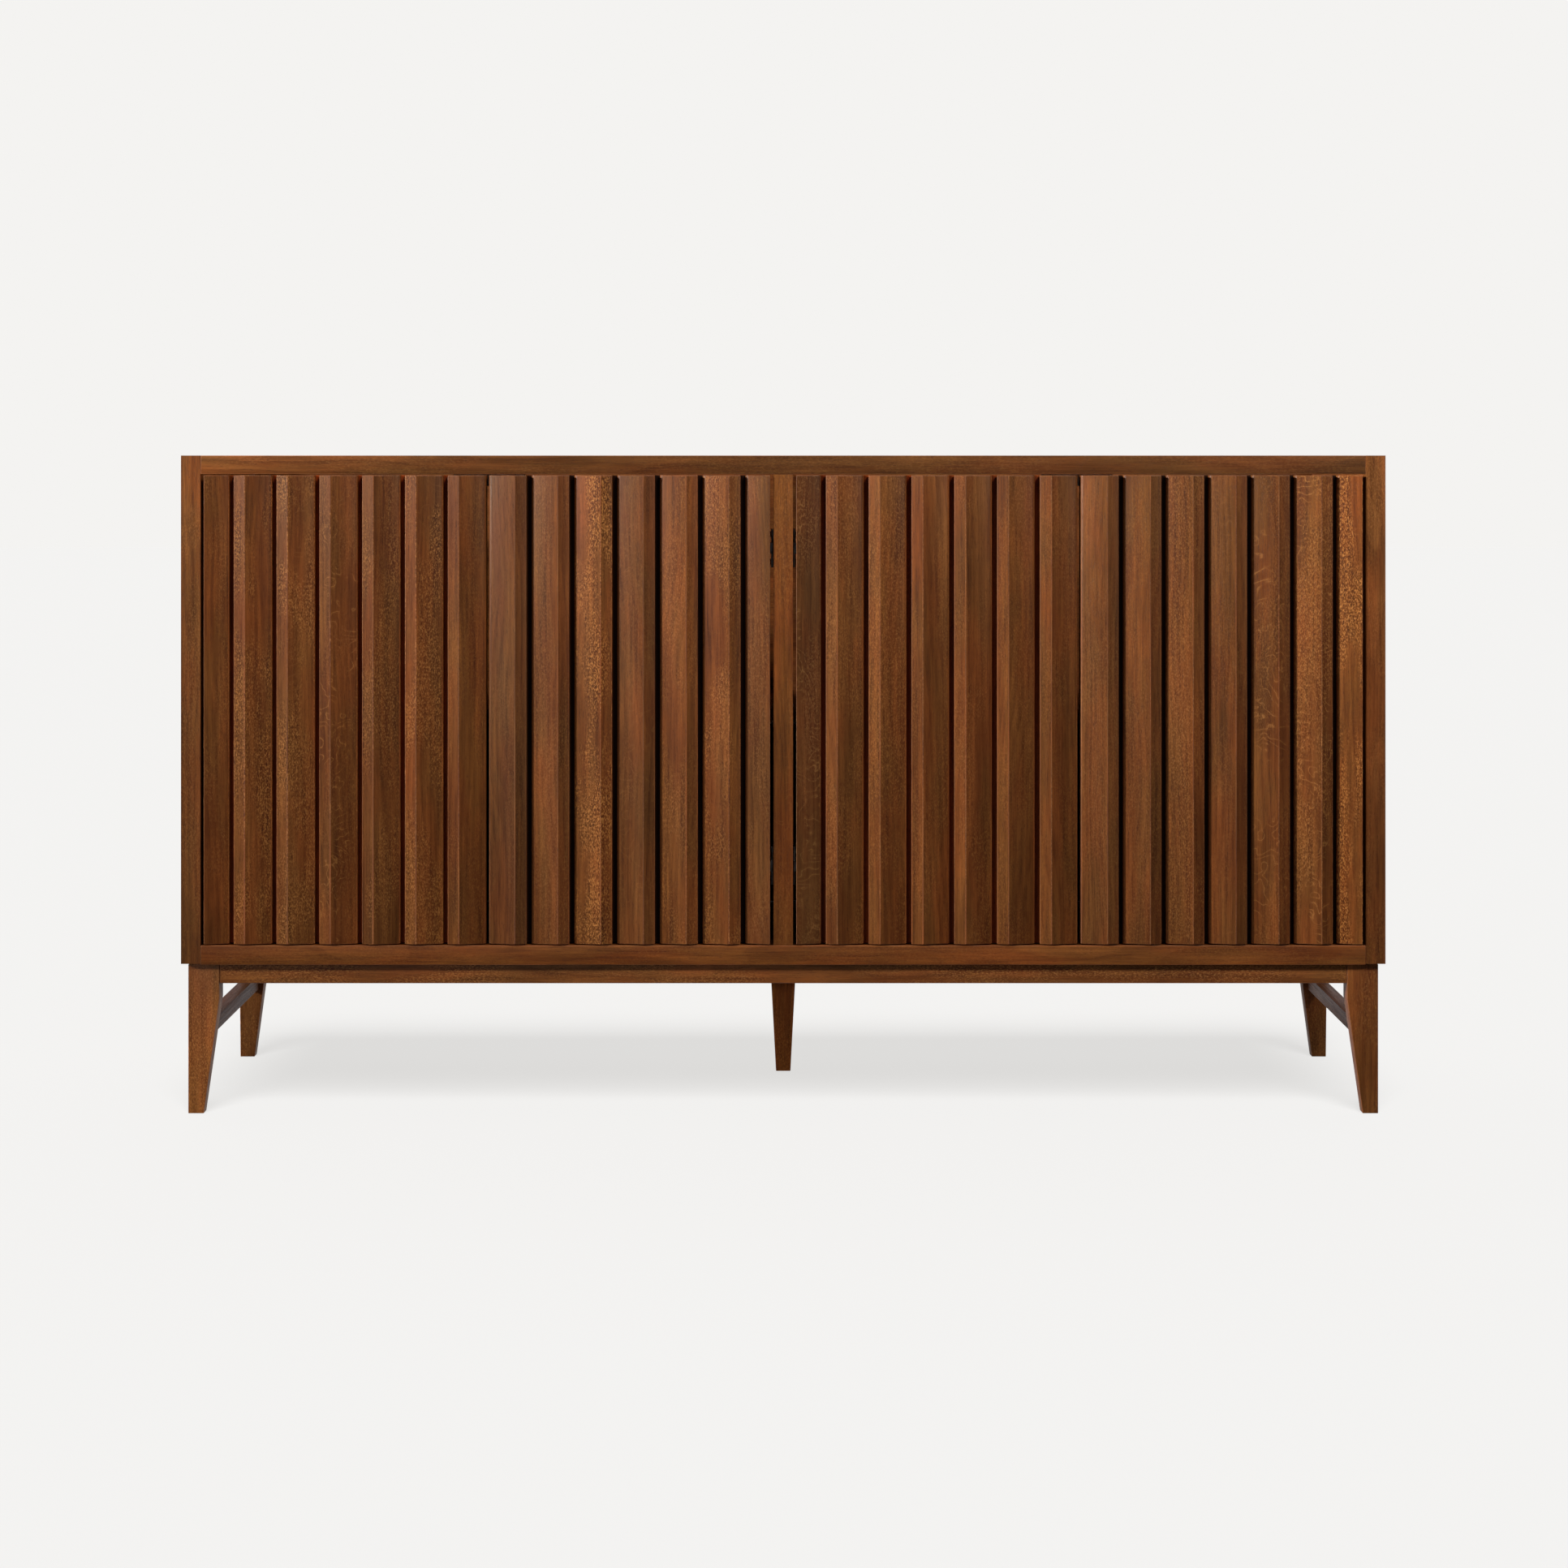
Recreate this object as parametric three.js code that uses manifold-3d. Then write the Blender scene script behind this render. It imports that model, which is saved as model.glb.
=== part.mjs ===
// A walnut-stained sideboard: a two-bay case with four slatted doors on a frame of tapered legs.
// Millimetres, +Z up. The front faces -Y, and the origin is on the floor under the middle.
import * as THREE from "three";
import { mergeVertices } from "three/addons/utils/BufferGeometryUtils.js";
import Module from "manifold-3d";

const wasm = await Module();
wasm.setup();

// Case.
const width = 1550;
const height = 848;
const caseDepth = 450;
const ridgeProud = 3; // the slat ridges stand this far in front of the case
const sideThickness = 25;
const topThickness = 24;
const bottomThickness = 25;
const partitionThickness = 25;
const backThickness = 6;
const backRecess = 6.5;
const bottomZ = 192.5; // underside of the bottom panel, and top of the leg frame
const sideLift = 1.3; // the side panels stop this far above the bottom panel's underside
const fit = 0.3; // clearance where two pieces meet

const frontY = ridgeProud - (caseDepth + ridgeProud) / 2;
const backY = frontY + caseDepth;
const sideInnerX = width / 2 - sideThickness;
const partitionX = partitionThickness / 2;
const bottomTopZ = bottomZ + bottomThickness;
const topUndersideZ = height - topThickness;
const backPanelY = backY - backRecess - backThickness;

// Shelves, one in each bay.
const shelfThickness = 18;
const shelfTopZ = 519;
const shelfFrontY = -180;
const shelfSideGap = 1.5;

// Bores for the shelf pins, in two rows of five on each wall of a bay.
const pinBoreRadius = 2.5;
const pinBoreDepth = 10;
const pinBoreSides = 16;
const pinBorePitch = 32;
const pinBoresPerRow = 5;
const pinRowsY = [-140, 170];
const pinHoleZ = shelfTopZ - shelfThickness - pinBoreRadius; // the bores that carry the shelf

// Doors. Distances along a door run from its hinge edge or from its meeting edge.
const doorEndGap = 1.5; // above and below a door
const outerHingeGap = 4.6; // beside a side panel
const innerHingeGap = 4.4; // beside the partition
const meetingGap = 3.5; // between the two doors of a pair
const doorBottomZ = bottomTopZ + doorEndGap;
const doorTopZ = topUndersideZ - doorEndGap;
const doorHeight = doorTopZ - doorBottomZ;
const doorWidth =
  (sideInnerX - partitionX - outerHingeGap - innerHingeGap - meetingGap) / 2;

// Slats. A full slat is a wide facet that rises to a ridge, then a narrow facet that falls.
const slatGap = 6.2;
const wideFacet = 34.3;
const narrowFacet = 14.6;
const slatPitch = wideFacet + narrowFacet + slatGap;
const fullSlats = 6;
const ridgeDepth = 17; // thickness at the ridge
const deepEdgeDepth = 8.7; // thickness where the wide facet starts
const crispEdgeDepth = 13; // thickness where the narrow facet ends
const softEdge = 4; // run of the rounded edge at the start of the wide facet
const softEdgeSteps = 4;
const backingThickness = 13;
const slatBackY = ridgeDepth - ridgeProud; // behind the case front
const backingFrontY = slatBackY + fit;
const backingBackY = backingFrontY + backingThickness;

// Concealed hinges: a cup bored into the door's back, and an arm screwed to the case.
const hingeFromEnd = 95; // height of a hinge from the door's top or bottom edge
const cupInset = 22.5; // cup centre from the hinge edge
const cupBoreRadius = 17.8;
const cupBoreDepth = 11.8;
const cupSides = 40;
const hingeHeights = [doorBottomZ + hingeFromEnd, doorTopZ - hingeFromEnd];
const armClearance = 2.7; // from the door's back to the arm
const armFrontY = backingBackY + armClearance;
const plateStart = 22; // mounting plate, behind the arm's front end
const plateLength = 32;
const plateHalfHeight = 25;
const plateThickness = 3;
const riserTop = 10;
const riserHalfHeight = 7;
const riserOverhang = 5; // the riser starts this far in front of the plate
const armHalfHeight = 9;
const armLength = 62;
const armThickness = 8;
const neckHalfWidth = 8; // the arm's front end, over the cup
const neckFrontLength = 6;
const neckBackLength = 26;
const neckSlant = 7; // how much sooner the neck's underside leaves the riser
const overlap = 0.5; // how far joined shapes reach into each other

// Magnetic catches, one for each pair of doors.
const catchFrontY = backingBackY + 1.6;
const catchHalfWidth = 34;
const catchDepth = 19;
const catchHeight = 15;
const catchTabHalfWidth = 46;
const catchTabInset = 4;
const catchTabThickness = 3;

// Leg frame.
const legInset = 8; // from the case's sides, front and back
const legWide = 40; // along X at the top
const legDeep = 30; // along Y at the top
const footSize = 20;
const taperTopZ = 148; // the corner legs are straight above this height
const legTopZ = bottomZ - fit;
const legOuterX = width / 2 - legInset;
const legFrontY = frontY + legInset;
const legBackY = backY - legInset;
const centerLegSize = 40;
const centerLegY = 96.5;
const apronHeight = 24.7;
const apronThickness = 20;
const apronRecess = 1; // behind the legs' outer faces
const stretcherSize = 19;
const stretcherTopZ = 115.5;
const stretcherInset = 8; // from the legs' outer faces
const stretcherOuterX = legOuterX - stretcherInset;

// Materials.
const slatWood = { color: 0x6d3f24, roughness: 0.45, metalness: 0 };
const caseWood = { color: 0x63371d, roughness: 0.42, metalness: 0 };
const innerWood = { color: 0x5a3520, roughness: 0.6, metalness: 0 };
const baseWood = { color: 0x5d3922, roughness: 0.45, metalness: 0 };
const hingeSteel = { color: 0xb9b9bb, roughness: 0.32, metalness: 0.9 };
const catchPlastic = { color: 0xe4e1da, roughness: 0.5, metalness: 0 };

const sideboard = new THREE.Group();

function addMesh(parent, name, geometry, look) {
  const mesh = new THREE.Mesh(geometry, new THREE.MeshStandardMaterial(look));
  mesh.name = name;
  parent.add(mesh);
  return mesh;
}

// A box between two corners, placed by its centre.
function addPanel(parent, name, [x0, x1], [y0, y1], [z0, z1], look) {
  const mesh = addMesh(parent, name, new THREE.BoxGeometry(x1 - x0, y1 - y0, z1 - z0), look);
  mesh.position.set((x0 + x1) / 2, (y0 + y1) / 2, (z0 + z1) / 2);
  return mesh;
}

function boxBetween([x0, x1], [y0, y1], [z0, z1]) {
  const box = new THREE.BoxGeometry(x1 - x0, y1 - y0, z1 - z0);
  return box.translate((x0 + x1) / 2, (y0 + y1) / 2, (z0 + z1) / 2);
}

const xAxis = new THREE.Vector3(1, 0, 0);
const yAxis = new THREE.Vector3(0, 1, 0);
const zAxis = new THREE.Vector3(0, 0, 1);

// Sweeps a shape between two values of one axis. The shape lies in the other two axes,
// named in alphabetical order: YZ for x, XZ for y, and XY for z.
function sweep(shape, axis, from, to, curveSegments = 1) {
  const turned = axis === "y";
  const options = { depth: to - from, bevelEnabled: false, curveSegments };
  const geometry = new THREE.ExtrudeGeometry(shape, options);
  geometry.translate(0, 0, turned ? -to : from);
  const basis = new THREE.Matrix4();
  if (axis === "x") basis.makeBasis(yAxis, zAxis, xAxis);
  if (axis === "y") basis.makeBasis(xAxis, zAxis, yAxis.clone().negate());
  return geometry.applyMatrix4(basis);
}

function polygon(points) {
  return new THREE.Shape(points.map(([a, b]) => new THREE.Vector2(a, b)));
}

function solidOf(geometry) {
  const bare = geometry.clone();
  bare.deleteAttribute("normal");
  bare.deleteAttribute("uv");
  const merged = mergeVertices(bare, 1e-4);
  const vertProperties = new Float32Array(merged.attributes.position.array);
  const triVerts = new Uint32Array(merged.index.array);
  return new wasm.Manifold(new wasm.Mesh({ numProp: 3, vertProperties, triVerts }));
}

function geometryOf(solid) {
  const { vertProperties, triVerts } = solid.getMesh();
  const geometry = new THREE.BufferGeometry();
  geometry.setAttribute("position", new THREE.BufferAttribute(vertProperties, 3));
  geometry.setIndex(new THREE.BufferAttribute(triVerts, 1));
  geometry.computeVertexNormals();
  return geometry;
}

// A wall with shelf-pin bores in the faces that look towards each of the directions.
function addBoredWall(name, across, depth, tall, directions) {
  let solid = solidOf(boxBetween(across, depth, tall));
  const length = pinBoreDepth + overlap;
  const middle = (pinBoresPerRow - 1) / 2;
  for (const direction of directions) {
    const faceX = direction > 0 ? across[1] : across[0];
    for (const y of pinRowsY) {
      for (let i = 0; i < pinBoresPerRow; i++) {
        const bore = new THREE.CylinderGeometry(pinBoreRadius, pinBoreRadius, length, pinBoreSides);
        bore.rotateZ(Math.PI / 2);
        const z = pinHoleZ + (i - middle) * pinBorePitch;
        bore.translate(faceX + direction * (overlap - length / 2), y, z);
        solid = solid.subtract(solidOf(bore));
      }
    }
  }
  addMesh(sideboard, name, geometryOf(solid), caseWood);
}

// Case: two full-height sides with the other panels between them.
function addCase() {
  const between = [fit - sideInnerX, sideInnerX - fit];
  const depth = [frontY, backY];
  const sideZ = [bottomZ + sideLift, height];
  const innerZ = [bottomTopZ + fit, topUndersideZ - fit];
  const inFrontOfBack = [frontY, backPanelY - fit];
  const backPanelDepth = [backPanelY, backPanelY + backThickness];
  addBoredWall("side_panel_left", [-width / 2, -sideInnerX], depth, sideZ, [1]);
  addBoredWall("side_panel_right", [sideInnerX, width / 2], depth, sideZ, [-1]);
  addPanel(sideboard, "top_panel", between, depth, [topUndersideZ, height], caseWood);
  addPanel(sideboard, "bottom_panel", between, depth, [bottomZ, bottomTopZ], caseWood);
  addBoredWall("center_partition", [-partitionX, partitionX], inFrontOfBack, innerZ, [-1, 1]);
  addPanel(sideboard, "back_panel", between, backPanelDepth, innerZ, innerWood);
}

function addShelves() {
  const nearX = partitionX + shelfSideGap;
  const farX = sideInnerX - shelfSideGap;
  const depth = [shelfFrontY, backPanelY - fit];
  const tall = [shelfTopZ - shelfThickness, shelfTopZ];
  addPanel(sideboard, "shelf_left", [-farX, -nearX], depth, tall, innerWood);
  addPanel(sideboard, "shelf_right", [nearX, farX], depth, tall, innerWood);
}

// The height of the wide facet above the slat's back, at a distance from its deep edge.
function wideFacetDepth(distance) {
  return deepEdgeDepth + ((ridgeDepth - deepEdgeDepth) * distance) / wideFacet;
}

// A slat's section. along turns a distance from the meeting edge into the door's X.
function slatSection(start, end, along) {
  const depthY = (thickness) => slatBackY - thickness;
  const shape = new THREE.Shape();
  shape.moveTo(along(start), slatBackY);
  shape.lineTo(along(start), depthY(deepEdgeDepth - softEdge));
  shape.quadraticCurveTo(
    along(start),
    depthY(deepEdgeDepth),
    along(start + softEdge),
    depthY(wideFacetDepth(softEdge)),
  );
  if (end - start > wideFacet) {
    shape.lineTo(along(start + wideFacet), depthY(ridgeDepth));
    shape.lineTo(along(end), depthY(crispEdgeDepth));
  } else {
    shape.lineTo(along(end), depthY(wideFacetDepth(end - start)));
  }
  shape.lineTo(along(end), slatBackY);
  return shape;
}

// The backing panel, with a blind bore in its back for each hinge cup.
function backingGeometry(direction) {
  const across = direction > 0 ? [0, doorWidth] : [-doorWidth, 0];
  let solid = solidOf(boxBetween(across, [backingFrontY, backingBackY], [doorBottomZ, doorTopZ]));
  const length = cupBoreDepth + overlap;
  for (const z of hingeHeights) {
    const bore = new THREE.CylinderGeometry(cupBoreRadius, cupBoreRadius, length, cupSides);
    bore.translate(direction * cupInset, backingBackY + overlap - length / 2, z);
    solid = solid.subtract(solidOf(bore));
  }
  return geometryOf(solid);
}

// A door, in a group at its hinge edge and at the case front. direction is +1 when the door
// runs from its hinge edge towards +X, and -1 when it runs towards -X.
function addDoor(name, hingeEdgeX, direction) {
  const door = new THREE.Group();
  door.position.set(hingeEdgeX, frontY, 0);
  sideboard.add(door);
  const along = (fromMeetingEdge) => direction * (doorWidth - fromMeetingEdge);
  addMesh(door, `${name}_backing`, backingGeometry(direction), slatWood);
  for (let i = 0; i <= fullSlats; i++) {
    const start = i * slatPitch;
    const end = Math.min(start + wideFacet + narrowFacet, doorWidth);
    const section = slatSection(start, end, along);
    const geometry = sweep(section, "z", doorBottomZ, doorTopZ, softEdgeSteps);
    addMesh(door, `${name}_slat_${i + 1}`, geometry, slatWood);
  }
}

// A hinge arm with its mounting plate, flat on a wall that faces direction. X is the distance
// from the wall, and Y the distance behind the case front.
function hingeArmGeometry(direction, cupCenter) {
  const out = (distances) => distances.map((d) => direction * d).sort((a, b) => a - b);
  const plateY = [armFrontY + plateStart, armFrontY + plateStart + plateLength];
  const riserY = [armFrontY + plateStart - riserOverhang, armFrontY + armLength];
  const plateZ = [-plateHalfHeight, plateHalfHeight];
  const riserZ = [-riserHalfHeight, riserHalfHeight];
  const plate = boxBetween(out([fit, fit + plateThickness]), plateY, plateZ);
  const riser = boxBetween(out([fit + overlap, riserTop]), riserY, riserZ);
  const neckFront = armFrontY + neckFrontLength;
  const neckBack = armFrontY + neckBackLength;
  const low = riserTop - overlap;
  const high = low + armThickness;
  const outline = [
    [low, armFrontY + armLength],
    [high, armFrontY + armLength],
    [high, neckBack],
    [cupCenter + neckHalfWidth, neckFront],
    [cupCenter + neckHalfWidth, armFrontY],
    [cupCenter - neckHalfWidth, armFrontY],
    [cupCenter - neckHalfWidth, neckFront],
    [low, neckBack - neckSlant],
  ];
  const shape = polygon(outline.map(([x, y]) => [direction * x, y]));
  const arm = sweep(shape, "z", -armHalfHeight, armHalfHeight);
  return geometryOf(solidOf(plate).add(solidOf(riser)).add(solidOf(arm)));
}

function addHingeArms(name, wallX, direction, hingeGap) {
  hingeHeights.forEach((z, i) => {
    const geometry = hingeArmGeometry(direction, hingeGap + cupInset);
    const arm = addMesh(sideboard, `${name}_${i ? "upper" : "lower"}`, geometry, hingeSteel);
    arm.position.set(wallX, frontY, z);
  });
}

// A double magnetic catch under the top panel, where the two doors of a pair meet.
function addCatch(name, x) {
  const top = -fit;
  const tabY = [catchFrontY + catchTabInset, catchFrontY + catchDepth - catchTabInset];
  const body = boxBetween(
    [-catchHalfWidth, catchHalfWidth],
    [catchFrontY, catchFrontY + catchDepth],
    [top - catchHeight, top],
  );
  const tabs = boxBetween(
    [-catchTabHalfWidth, catchTabHalfWidth],
    tabY,
    [top - catchTabThickness, top],
  );
  const geometry = geometryOf(solidOf(body).add(solidOf(tabs)));
  addMesh(sideboard, name, geometry, catchPlastic).position.set(x, frontY, topUndersideZ);
}

function addDoorsAndHardware() {
  const outerEdge = sideInnerX - outerHingeGap;
  const innerEdge = partitionX + innerHingeGap;
  addDoor("door_1", -outerEdge, 1);
  addDoor("door_2", -innerEdge, -1);
  addDoor("door_3", innerEdge, 1);
  addDoor("door_4", outerEdge, -1);
  addHingeArms("hinge_arm_1", -sideInnerX, 1, outerHingeGap);
  addHingeArms("hinge_arm_2", -partitionX, -1, innerHingeGap);
  addHingeArms("hinge_arm_3", partitionX, 1, innerHingeGap);
  addHingeArms("hinge_arm_4", sideInnerX, -1, outerHingeGap);
  const meetingX = innerEdge + doorWidth + meetingGap / 2;
  addCatch("magnetic_catch_left", -meetingX);
  addCatch("magnetic_catch_right", meetingX);
}

// A corner leg's outline against height. It is vertical on its outer side, and its inner
// side is vertical at the top and leans outwards below. inward is +1 or -1.
function cornerTaper(outer, inward, size) {
  return polygon([
    [outer, 0],
    [outer, legTopZ],
    [outer + inward * size, legTopZ],
    [outer + inward * size, taperTopZ],
    [outer + inward * footSize, 0],
  ]);
}

function addCornerLeg(name, sideX, sideY) {
  const outerY = sideY < 0 ? legFrontY : legBackY;
  const acrossX = sweep(cornerTaper(sideX * legOuterX, -sideX, legWide), "y", frontY, backY);
  const acrossY = sweep(cornerTaper(outerY, -sideY, legDeep), "x", -width / 2, width / 2);
  addMesh(sideboard, name, geometryOf(solidOf(acrossX).intersect(solidOf(acrossY))), baseWood);
}

// The centre leg tapers evenly on all four sides.
function addCenterLeg() {
  const taper = (middle) =>
    polygon([
      [middle - footSize / 2, 0],
      [middle + footSize / 2, 0],
      [middle + centerLegSize / 2, legTopZ],
      [middle - centerLegSize / 2, legTopZ],
    ]);
  const acrossX = solidOf(sweep(taper(0), "y", frontY, backY));
  const acrossY = solidOf(sweep(taper(centerLegY), "x", -width / 2, width / 2));
  addMesh(sideboard, "center_leg", geometryOf(acrossX.intersect(acrossY)), baseWood);
}

// How deep a corner leg is along Y at a height.
function legDepthAt(z) {
  return footSize + (legDeep - footSize) * Math.min(1, z / taperTopZ);
}

function addAprons() {
  const legInnerX = legOuterX - legWide;
  const across = [fit - legInnerX, legInnerX - fit];
  const tall = [legTopZ - apronHeight, legTopZ];
  const front = legFrontY + apronRecess;
  const back = legBackY - apronRecess;
  addPanel(sideboard, "front_apron", across, [front, front + apronThickness], tall, baseWood);
  addPanel(sideboard, "back_apron", across, [back - apronThickness, back], tall, baseWood);
}

// A side stretcher's ends follow the leaning inner faces of the legs.
function addStretcher(name, side) {
  const topZ = stretcherTopZ;
  const lowZ = stretcherTopZ - stretcherSize;
  const outline = polygon([
    [legFrontY + legDepthAt(lowZ) + fit, lowZ],
    [legBackY - legDepthAt(lowZ) - fit, lowZ],
    [legBackY - legDepthAt(topZ) - fit, topZ],
    [legFrontY + legDepthAt(topZ) + fit, topZ],
  ]);
  const outer = side * stretcherOuterX;
  const inner = side * (stretcherOuterX - stretcherSize);
  const geometry = sweep(outline, "x", Math.min(outer, inner), Math.max(outer, inner));
  addMesh(sideboard, name, geometry, baseWood);
}

function addLegFrame() {
  addCornerLeg("leg_front_left", -1, -1);
  addCornerLeg("leg_front_right", 1, -1);
  addCornerLeg("leg_back_left", -1, 1);
  addCornerLeg("leg_back_right", 1, 1);
  addCenterLeg();
  addAprons();
  addStretcher("side_stretcher_left", -1);
  addStretcher("side_stretcher_right", 1);
}

addCase();
addShelves();
addDoorsAndHardware();
addLegFrame();

export default sideboard;
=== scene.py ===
"""The sideboard's looks: stained-wood materials, hinge and shelf hardware, and a pale studio."""

import math
import random

import bmesh
import bpy
from mathutils import Matrix, Vector


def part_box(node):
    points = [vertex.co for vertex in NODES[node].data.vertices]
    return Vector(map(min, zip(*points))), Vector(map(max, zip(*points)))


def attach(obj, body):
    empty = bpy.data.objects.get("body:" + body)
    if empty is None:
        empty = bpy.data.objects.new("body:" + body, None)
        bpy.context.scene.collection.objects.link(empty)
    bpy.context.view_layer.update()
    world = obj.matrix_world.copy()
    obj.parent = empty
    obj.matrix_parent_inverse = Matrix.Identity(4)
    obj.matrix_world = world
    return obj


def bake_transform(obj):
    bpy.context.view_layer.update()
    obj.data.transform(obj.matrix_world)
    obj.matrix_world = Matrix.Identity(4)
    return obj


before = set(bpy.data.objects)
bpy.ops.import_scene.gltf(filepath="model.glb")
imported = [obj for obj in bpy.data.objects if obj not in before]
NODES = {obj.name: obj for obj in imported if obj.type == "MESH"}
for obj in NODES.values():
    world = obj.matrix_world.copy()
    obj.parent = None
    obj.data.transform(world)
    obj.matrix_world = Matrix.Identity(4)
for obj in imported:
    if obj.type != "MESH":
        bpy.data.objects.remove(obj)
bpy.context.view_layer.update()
scene = bpy.context.scene

DOORS = (1, 2, 3, 4)
HEIGHTS = ("lower", "upper")
MM = 0.001

# ---------------------------------------------------------------- camera, light and floor

CAMERA_AT = (0.0, -4.5165, 0.8327)
CAMERA_LENS = 76.6
CAMERA_SHIFT_X = 0.0005
CAMERA_SHIFT_Y = -0.2019
BACKGROUND = (0.905, 0.896, 0.879)
FLOOR_GLOW = 0.775  # share of the floor's brightness that no shadow takes away
FLOOR_SIZE = 60.0
FLOOR_SHADOW_CASTERS = (
    "bottom_panel", "front_apron", "back_apron", "center_leg",
    "leg_front_left", "leg_front_right", "leg_back_left", "leg_back_right",
)


def add_camera():
    data = bpy.data.cameras.new("camera")
    data.lens = CAMERA_LENS
    data.sensor_width = 36.0
    data.shift_x = CAMERA_SHIFT_X
    data.shift_y = CAMERA_SHIFT_Y
    data.clip_end = 200.0
    camera = bpy.data.objects.new("camera", data)
    camera.location = CAMERA_AT
    camera.rotation_euler = (math.pi / 2, 0.0, 0.0)
    scene.collection.objects.link(camera)
    scene.camera = camera


def point_at(obj, target):
    direction = Vector(target) - obj.location
    obj.rotation_euler = direction.to_track_quat("-Z", "Y").to_euler()


def add_light(name, kind, place, target, energy, color, **settings):
    data = bpy.data.lights.new(name, kind)
    data.energy = energy
    data.color = color
    for key, value in settings.items():
        setattr(data, key, value)
    light = bpy.data.objects.new(name, data)
    light.location = place
    point_at(light, target)
    scene.collection.objects.link(light)
    return light


def link_light(light, receivers=None, blockers=None, state="INCLUDE"):
    """Limits which objects a light reaches, and which objects can cast its shadow.

    With the state EXCLUDE the lists name the objects that are left out instead.
    """
    for role, objects in (("receiver", receivers), ("blocker", blockers)):
        if not objects:
            continue
        group = bpy.data.collections.new(f"{light.name}_{role}s")
        for obj in objects:
            group.objects.link(obj)
        for entry in group.collection_objects:
            entry.light_linking.link_state = state
        setattr(light.light_linking, role + "_collection", group)


def add_lights(floor):
    """A soft key from the far left, a weaker fill from the front right, and light from overhead.

    Both spots aim above the object, so that they fade downwards, and a low one lights the legs.
    The floor has a light of its own, which only the bottom panel, aprons and legs shadow.
    """
    key = add_light(
        "key_light", "SPOT", (-15.2, -5.9, 6.3), (0.04, -0.22, 1.38), 18000.0, (1.0, 0.97, 0.93),
        spot_size=math.radians(13.6), spot_blend=1.0, shadow_soft_size=0.9,
    )
    fill = add_light(
        "fill_light", "SPOT", (5.9, -7.6, 8.7), (0.0, -0.22, 1.40), 4800.0, (1.0, 0.97, 0.93),
        spot_size=math.radians(18), spot_blend=1.0, shadow_soft_size=2.0,
    )
    fill.scale = (1.6, 1.0, 1.0)
    overhead = add_light(
        "overhead_light", "SUN", (0.0, 0.0, 5.0), (0.0, 1.5, 0.0), 0.5, (1.0, 1.0, 1.0),
        angle=math.radians(28),
    )
    low = add_light(
        "low_light", "SPOT", (-6.0, -10.2, 1.6), (-0.35, -0.22, -0.14), 1500.0, (1.0, 0.98, 0.95),
        spot_size=math.radians(4.8), spot_blend=1.0, shadow_soft_size=0.6,
    )
    low.scale = (3.4, 1.0, 1.0)
    for light in (low, overhead):
        link_light(light, receivers=[floor], state="EXCLUDE")
    # These two pass through the top panel, which would put a dark arc on each slat's top end.
    # They leave out the catches, which would show as a bright line in the gap above the doors.
    unlit = [floor, NODES["magnetic_catch_left"], NODES["magnetic_catch_right"]]
    for light in (key, fill):
        link_light(light, receivers=unlit, blockers=[NODES["top_panel"]], state="EXCLUDE")
    floor_light = add_light(
        "floor_light", "SUN", (0.0, -5.0, 5.0), (0.0, 0.0, 0.0), 6.5, (1.0, 1.0, 1.0),
        angle=math.radians(36),
    )
    casters = [NODES[name] for name in FLOOR_SHADOW_CASTERS]
    link_light(floor_light, receivers=[floor], blockers=casters)


def add_world():
    """Soft light from all round, stronger behind the object, and a plain pale backdrop."""
    world = bpy.data.worlds.new("studio")
    world.use_nodes = True
    tree = world.node_tree
    tree.nodes.clear()
    direction = add(tree, "ShaderNodeTexCoord").outputs["Generated"]
    along_y = add(tree, "ShaderNodeSeparateXYZ", {0: direction}).outputs["Y"]
    from_behind = add(
        tree, "ShaderNodeMapRange",
        {"Value": along_y, "From Min": -0.2, "From Max": 0.7, "To Min": 0.07, "To Max": 0.50},
        interpolation_type="SMOOTHSTEP",
    ).outputs["Result"]
    fill = add(tree, "ShaderNodeBackground", {"Color": (0.97, 0.98, 1.0, 1.0), "Strength": from_behind})
    seen = add(tree, "ShaderNodeBackground", {"Color": (*BACKGROUND, 1.0)})
    ray = add(tree, "ShaderNodeLightPath").outputs["Is Camera Ray"]
    mix = add(tree, "ShaderNodeMixShader", {0: ray, 1: fill.outputs[0], 2: seen.outputs[0]})
    add(tree, "ShaderNodeOutputWorld", {"Surface": mix.outputs[0]})
    scene.world = world


def add_floor():
    data = bpy.data.meshes.new("floor")
    half = FLOOR_SIZE / 2
    corners = [(-half, -half, 0), (half, -half, 0), (half, half, 0), (-half, half, 0)]
    data.from_pydata(corners, [], [(0, 1, 2, 3)])
    floor = bpy.data.objects.new("floor", data)
    scene.collection.objects.link(floor)
    material, tree = new_material("floor_paint")
    speckle = add(tree, "ShaderNodeTexNoise", {"Scale": 60.0, "Detail": 4.0})
    tint = add(
        tree, "ShaderNodeMapRange",
        {"Value": speckle.outputs["Fac"], "To Min": 0.119, "To Max": 0.121},
    )
    paint = add(tree, "ShaderNodeBsdfDiffuse", {"Color": tint.outputs["Result"]})
    glow = add(tree, "ShaderNodeEmission", {"Color": (*BACKGROUND, 1.0), "Strength": FLOOR_GLOW})
    both = add(tree, "ShaderNodeAddShader", {0: paint.outputs[0], 1: glow.outputs[0]})
    add(tree, "ShaderNodeOutputMaterial", {"Surface": both.outputs[0]})
    data.materials.append(material)
    floor.visible_diffuse = False
    floor.visible_glossy = False
    return floor


# ---------------------------------------------------------------- node helpers


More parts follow.
